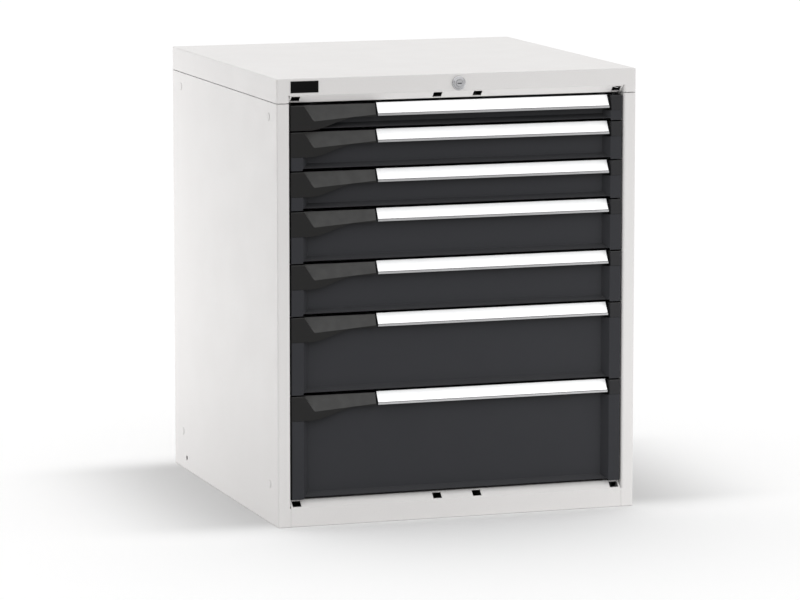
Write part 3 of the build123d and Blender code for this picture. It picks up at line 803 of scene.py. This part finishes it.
# %% Shape of the grip
moulding_roll = 0.9 * mm
grip_height = 47.0 * mm
grip_flat = 36.0 * mm
grip_sweep = 94.0 * mm
grip_rise = 22.5 * mm
facet_start = 46.5 * mm
facet_drop = 31.5 * mm
facet_end_drop = 22.3 * mm
facet_edge = 1.5 * mm
facet_slope = 0.3365
facet_lean = 0.65
grip_left = -front_half
grip_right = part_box("drawer_7_handle")[0].x - 4.0 * mm


def smooth(share):
    """The S-shaped step 3 s^2 - 2 s^3, with s held between 0 and 1."""
    share = np.clip(share, 0, 1)
    return share * share * (3 - 2 * share)


def grip_moulding(top):
    """The grip: its foot line sweeps up, and its facet goes deeper above a foot line of its own."""
    head = top - reveal

    def foot_line(x):
        return head - grip_height + grip_rise * smooth((x - grip_left - grip_flat) / grip_sweep)

    def face(x, z):
        along = (x - grip_left - facet_start) / (grip_right - grip_left - facet_start)
        foot = top - facet_drop + along * (facet_drop - facet_end_drop)
        edge = grip_left + facet_start - facet_lean * (z - top + facet_drop)
        inside = smooth((x - edge) / facet_edge + 0.5)
        return face_depth + facet_slope * np.clip(z - foot, 0, None) * inside

    return moulded(
        grip_left, grip_right, foot_line, head, face, panel_depth, moulding_roll, columns=150, rows=44
    )


print("grip", round((grip_right - grip_left) / mm, 1), "by", round(grip_height / mm, 1), "mm")

# %% [markdown]
# The cap at the right end is a plain slab with rolled edges. Behind both mouldings a bar hooks over
# the edge of the panel, and that is a rounded section carried along X.

# %% Shapes of the cap and the hook
cap_width = 22.0 * mm
cap_left = front_half - cap_width
hook_start = panel_depth - 1.0 * mm


def cap_moulding(top):
    """The cap: one depth all over, from its foot up to its head."""
    head = top - reveal
    return moulded(
        cap_left, front_half, lambda x: np.full_like(x, head - cap_height), head,
        lambda x, z: np.full_like(x, face_depth), panel_depth, moulding_roll, columns=12, rows=14,
    )


def hook_bar(top, left, right):
    """The bar behind a moulding, a little shorter than the moulding at both ends."""
    inset = 0.3 * mm
    corners = [
        (hook_start, top - reveal),
        (hook_depth, top - reveal),
        (hook_depth, top - panel_drop),
        (hook_start, top - panel_drop),
    ]
    return carried_across(rounded(corners, 0.4 * mm), (left + inset, right - inset))


print("cap", round(cap_width / mm, 1), "by", round(cap_height / mm, 1), "mm")

# %% [markdown]
# Every drawer has the same two mouldings, level with the top of its pull. Together they stand for one
# CAD node, but they differ a little in colour, so they are two pieces.

# %% Make the grips and caps
for number in drawers:
    top = unit_heights(number)[1]
    node = f"drawer_{number}_end_caps"
    grip = [grip_moulding(top), hook_bar(top, grip_left, grip_right)]
    cap = [cap_moulding(top), hook_bar(top, cap_left, front_half)]
    new_piece(f"drawer_{number}_grip", grip, grip_plastic, f"drawer_{number}", "grip_plastic", node)
    new_piece(f"drawer_{number}_cap", cap, cap_plastic, f"drawer_{number}", "grip_plastic", node)
print("grips and caps", 2 * len(drawers))

# %% [markdown]
# ## Lock and badge
# The lock's flange and collar are turned parts, so they are a profile swept round the lock's axis,
# with a groove and softened edges that catch the light.


# %% Make the lock rosette
def turned(profile, centre, turns=96):
    """A closed profile of (radius, distance in front) turned about the Y axis through the centre."""
    profile = np.asarray(profile, float)
    angle = np.linspace(0, 2 * math.pi, turns, endpoint=False)[:, None]
    points = np.empty((turns, len(profile), 3))
    points[:, :, 0] = centre[0] + np.cos(angle) * profile[:, 0]
    points[:, :, 1] = centre[1] - profile[:, 1]
    points[:, :, 2] = centre[2] + np.sin(angle) * profile[:, 0]
    ring = np.arange(len(profile))
    first = np.arange(turns)[:, None] * len(profile)
    second = np.roll(first, -1, axis=0)
    ahead = np.roll(ring, -1)
    corners = [first + ring, second + ring, second + ahead, first + ahead]
    quads = np.stack(corners, axis=-1).reshape(-1, 4)
    return points.reshape(-1, 3), [quads]


lock_low, lock_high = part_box("lock_cylinder")
plug_low, plug_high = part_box("lock_plug")
lock_centre = ((lock_low.x + lock_high.x) / 2, housing_front, (lock_low.z + lock_high.z) / 2)
plug_clearance = 0.05 * mm
bore = (plug_high.x - plug_low.x) / 2 + plug_clearance
lock_profile = np.array(
    [
        (bore / mm, -28.0),
        (bore / mm, 4.6),
        (bore / mm + 0.4, 5.0),
        (9.7, 5.0),
        (10.5, 4.3),
        (10.5, 3.1),
        (10.9, 2.8),
        (11.3, 3.0),
        (12.2, 2.9),
        (13.1, 2.3),
        (13.5, 1.3),
        (13.5, 0.0),
        (9.5, 0.0),
        (9.5, -28.0),
    ]
)
rosette = turned(lock_profile * mm, lock_centre)
new_piece("lock_rosette", [rosette], lock_chrome, "housing", "lock_chrome", "lock_cylinder")
print("lock rosette with a bore of", round(bore / mm, 2), "mm radius")

# %% [markdown]
# The badge plate is a small moulding with rolled edges. It is left blank.

# %% Make the badge
badge_low, badge_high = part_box("badge_plate")
badge_front = badge_low.y - housing_front
badge_back = badge_high.y - housing_front
badge_roll = 0.7 * mm
badge = moulded(
    badge_low.x, badge_high.x, lambda x: np.full_like(x, badge_low.z), badge_high.z,
    lambda x, z: np.full_like(x, badge_front), badge_back, badge_roll, columns=30, rows=14,
)
new_piece("blank_badge", [badge], badge_plastic, "housing", "badge_plastic", "badge_plate")
print("blank badge", [round(v / mm, 1) for v in badge_high - badge_low])

# %% [markdown]
# ## Floor, light and camera
# The photograph is a plain studio shot on white, so the floor is a wide pale plane. Close to the
# cabinet, mostly at its sides, a painted shadow makes it greyer to the camera, fading to white further
# out. That grey is for camera rays only, so it doesn't change the light that the floor sends back.

# %% Floor
floor_mesh = bpy.data.meshes.new("studio_floor")
reach = 60.0
level = -0.3 * mm
corners = [
    (-reach, -reach, level),
    (reach, -reach, level),
    (reach, reach, level),
    (-reach, reach, level),
]
floor_mesh.from_pydata(corners, [], [(0, 1, 2, 3)])
floor = bpy.data.objects.new("studio_floor", floor_mesh)
bpy.context.scene.collection.objects.link(floor)
# Painted shadow: its half length, narrowing, width and grey round the cabinet's footprint.
shadow_half_length = 0.28
shadow_narrowing = 2.2
shadow_width = 0.5
painted_shadow_grey = (0.64, 0.64, 0.64, 1)
floor_white, tree, shader = new_finish("floor_white", Roughness=1.0, Specular_IOR_Level=0.0)
place = add_node(tree, "ShaderNodeTexCoord").outputs["Object"]
outside = vector_node(tree, "ABSOLUTE", place)["Vector"]
outside = vector_node(tree, "SUBTRACT", outside, (cad_high.x, shadow_half_length, 1))["Vector"]
outside = vector_node(tree, "MAXIMUM", outside)["Vector"]
outside = vector_node(tree, "MULTIPLY", outside, (1, shadow_narrowing, 1))["Vector"]
away = vector_node(tree, "LENGTH", outside)["Value"]
near = math_node(tree, "POWER", between(tree, away, 0.0, shadow_width, 1.0, 0.0), 2.0)
seen = add_node(tree, "ShaderNodeLightPath").outputs["Is Camera Ray"]
# Painted shadow: camera rays see the floor grey near the cabinet, fading to white further out.
painted_floor_shadow = mixed(tree, near, (1, 1, 1, 1), painted_shadow_grey)
tree.links.new(mixed(tree, seen, (0.95, 0.95, 0.95, 1), painted_floor_shadow), shader.inputs["Base Color"])
floor_mesh.materials.append(floor_white)
print("floor out to", reach, "m")

# %% [markdown]
# A sun that isn't turned shines straight down. With a very wide disc it is soft, and it lights the
# floor evenly out to the horizon, where an area lamp would leave it grey. What the cabinet hides of
# its light is the shadow.

# %% Overhead sun
sun_lamp = bpy.data.lights.new("overhead_light", "SUN")
sun_lamp.energy = 2.25
sun_lamp.angle = math.radians(130)
sun = bpy.data.objects.new("overhead_light", sun_lamp)
bpy.context.scene.collection.objects.link(sun)
print("sun of", sun_lamp.energy)

# %% [markdown]
# Four lamp panels, at the right front, low in front, low at the left and at the left rear, make each
# face brighter towards one end or towards its foot, as it is in the photograph. They are linked to
# everything but the floor, so they don't wash its shadow out.

# %% Lamp panels
off_the_floor = bpy.data.collections.new("off_the_floor")
off_the_floor.objects.link(floor)
off_the_floor.collection_objects[0].light_linking.link_state = "EXCLUDE"


def wide_lamp(name, place, aim, power, width, height):
    """A lamp panel at a place, turned towards a point, that lights everything but the floor."""
    lamp = bpy.data.lights.new(name, "AREA")
    lamp.energy = power
    lamp.shape = "RECTANGLE"
    lamp.size = width
    lamp.size_y = height
    holder = bpy.data.objects.new(name, lamp)
    holder.location = place
    holder.rotation_euler = (Vector(aim) - Vector(place)).to_track_quat("-Z", "Y").to_euler()
    holder.visible_camera = False
    holder.light_linking.receiver_collection = off_the_floor
    bpy.context.scene.collection.objects.link(holder)


wide_lamp("right_front_lamp", (1.3, -1.3, 0.30), (0.2, -0.36, 0.30), power=5.0, width=0.8, height=0.6)
wide_lamp("low_front_lamp", (0.1, -1.1, 0.08), (0.1, -0.36, 0.10), power=1.0, width=1.4, height=0.12)
wide_lamp("low_left_lamp", (-1.1, 0.15, 0.08), (-0.36, 0.15, 0.10), power=0.6, width=1.2, height=0.12)
wide_lamp("left_rear_lamp", (-0.75, 0.75, 0.45), (-0.36, 0.30, 0.45), power=2.3, width=0.4, height=1.1)
print("four lamp panels")

# %% [markdown]
# The surround is white to the camera and in what shiny pieces mirror. To everything else it is only a
# weak fill, so the shadows keep their depth.

# %% White surround
world = bpy.data.worlds.new("studio")
bpy.context.scene.world = world
world.use_nodes = True
tree = world.node_tree
tree.nodes.clear()
path = add_node(tree, "ShaderNodeLightPath").outputs
seen = math_node(tree, "MAXIMUM", path["Is Camera Ray"], path["Is Glossy Ray"])
seen = math_node(tree, "MAXIMUM", seen, path["Is Transmission Ray"])
white = add_node(tree, "ShaderNodeBackground", {"Color": (1, 1, 1, 1), "Strength": 1.0}).outputs[0]
fill = add_node(tree, "ShaderNodeBackground", {"Color": (1, 1, 1, 1), "Strength": 0.31}).outputs[0]
both = add_node(tree, "ShaderNodeMixShader", {0: seen, 1: fill, 2: white}).outputs[0]
add_node(tree, "ShaderNodeOutputWorld", {"Surface": both})
print("white surround")

# %% [markdown]
# The camera stands far off to the left and a little above, with a long lens, so the upright edges
# stay nearly parallel. Its place and lens come from the corners of the housing in the photograph.

# %% Camera
camera_data = bpy.data.cameras.new("camera")
camera_data.lens = 201.02
camera_data.sensor_width = 36.0
camera = bpy.data.objects.new("camera", camera_data)
azimuth = math.radians(-18.3889)
elevation = math.radians(8.3702)
backward = Vector(
    (
        math.sin(azimuth) * math.cos(elevation),
        -math.cos(azimuth) * math.cos(elevation),
        math.sin(elevation),
    )
)
camera.location = (-2.7521, -8.2900, 1.6532)
camera.rotation_euler = (-backward).to_track_quat("-Z", "Y").to_euler()
bpy.context.scene.collection.objects.link(camera)
bpy.context.scene.camera = camera
bpy.context.scene.view_settings.view_transform = "Standard"
print("camera at", [round(v, 3) for v in camera.location])
